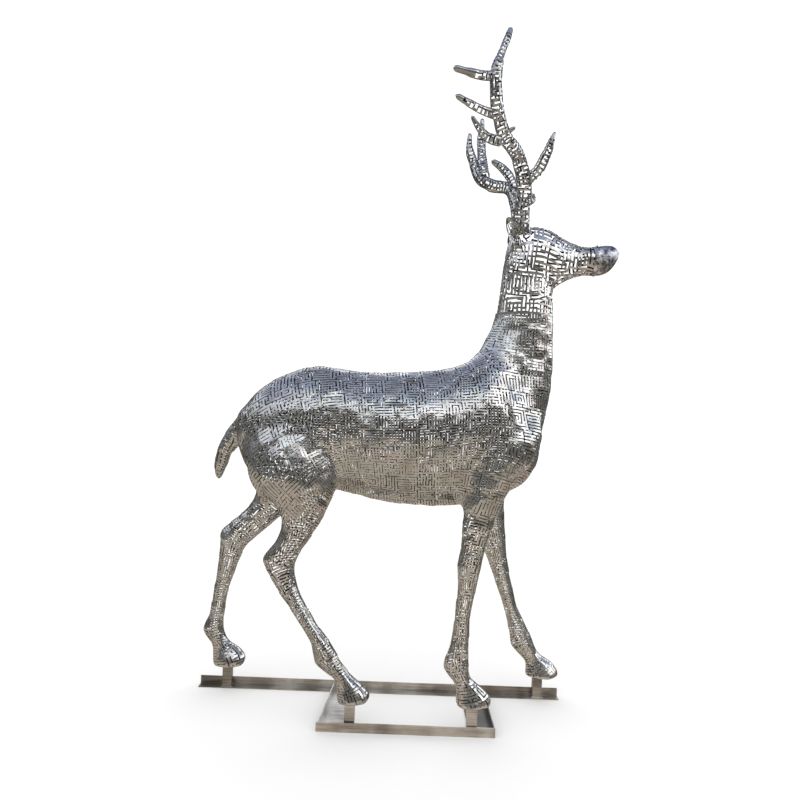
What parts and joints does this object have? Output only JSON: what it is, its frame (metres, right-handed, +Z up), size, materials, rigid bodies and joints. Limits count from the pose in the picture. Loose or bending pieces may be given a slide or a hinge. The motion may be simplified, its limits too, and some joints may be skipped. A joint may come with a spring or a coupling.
{
  "type": "deer sculpture",
  "caption": "Life-size walking stag with branching antlers, an openwork shell of polished steel strip standing on a low welded frame of steel angle.",
  "frame": {"origin": "middle of the bounding box at the underside of the base frame", "axes": "+X towards the head, +Z up, the side seen in the picture at -Y"},
  "size_m": [1.295, 0.5312, 2.0051],
  "materials": {
    "polished_strip": "mirror-polished stainless steel strip",
    "frame_steel": "satin mill finish with weld marks"
  },
  "bodies": {
    "root": {"deer": "polished_strip", "rear_rail": "frame_steel", "front_rail": "frame_steel", "hind_cross_rail": "frame_steel", "fore_cross_rail": "frame_steel", "near_hind_post": "frame_steel", "near_fore_post": "frame_steel", "far_hind_post": "frame_steel", "far_fore_post": "frame_steel"}
  },
  "joints": []
}
